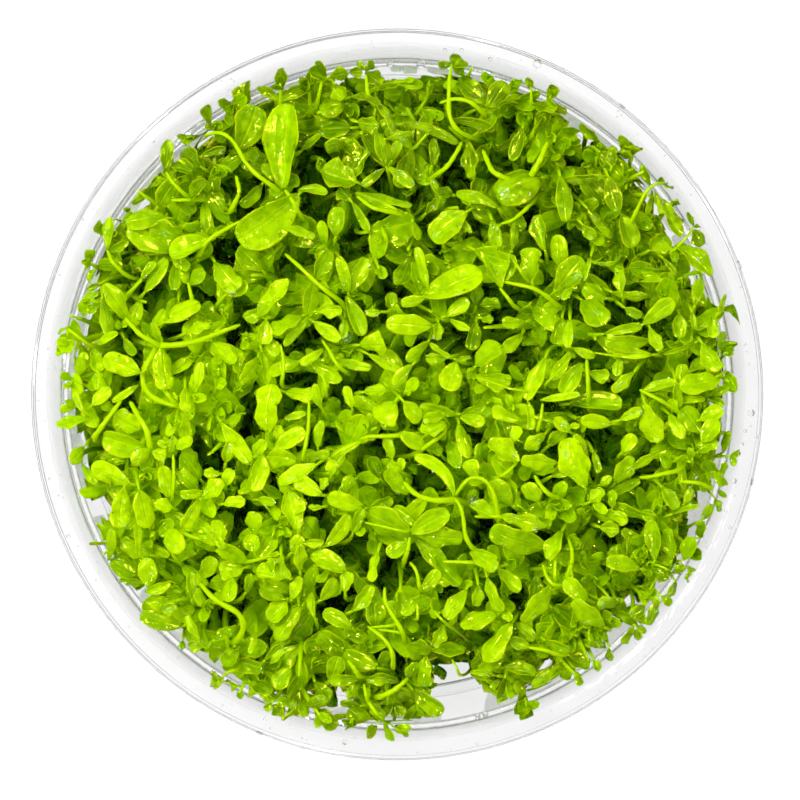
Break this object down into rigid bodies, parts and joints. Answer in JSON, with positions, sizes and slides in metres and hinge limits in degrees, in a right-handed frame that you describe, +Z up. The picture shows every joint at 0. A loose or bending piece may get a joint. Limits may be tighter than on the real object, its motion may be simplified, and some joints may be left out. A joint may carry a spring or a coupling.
{
  "type": "pearlweed in a culture cup",
  "caption": "Dense mat of small-leaved green pearlweed tufts, rooted in clear gel in an open, round, clear plastic culture cup with a skirted rim.",
  "frame": {"origin": "on the cup's axis, in the plane that its foot ring stands on", "axes": "+Z up along the cup's axis; +X to the right in the picture; +Y towards the picture's top edge"},
  "size_m": [0.1, 0.1, 0.0518],
  "materials": {
    "clear_plastic": "gloss",
    "gel": "gloss",
    "leaf": "satin",
    "water": "gloss"
  },
  "bodies": {
    "root": {"cup": "clear_plastic", "growing_gel": "gel", "tuft_01": "leaf", "tuft_02": "leaf", "tuft_03": "leaf", "tuft_04": "leaf", "tuft_05": "leaf", "tuft_06": "leaf", "tuft_07": "leaf", "tuft_08": "leaf", "tuft_09": "leaf", "tuft_10": "leaf", "tuft_11": "leaf", "tuft_12": "leaf", "tuft_13": "leaf", "tuft_14": "leaf", "tuft_15": "leaf", "tuft_16": "leaf", "tuft_17": "leaf", "tuft_18": "leaf", "tuft_19": "leaf", "tuft_20": "leaf", "tuft_21": "leaf", "tuft_22": "leaf", "tuft_23": "leaf", "tuft_24": "leaf", "tuft_25": "leaf", "tuft_26": "leaf", "tuft_27": "leaf", "tuft_28": "leaf", "tuft_29": "leaf", "tuft_30": "leaf", "tuft_31": "leaf", "tuft_32": "leaf", "tuft_33": "leaf", "tuft_34": "leaf", "tuft_35": "leaf", "tuft_36": "leaf", "tuft_37": "leaf"}
  },
  "joints": []
}
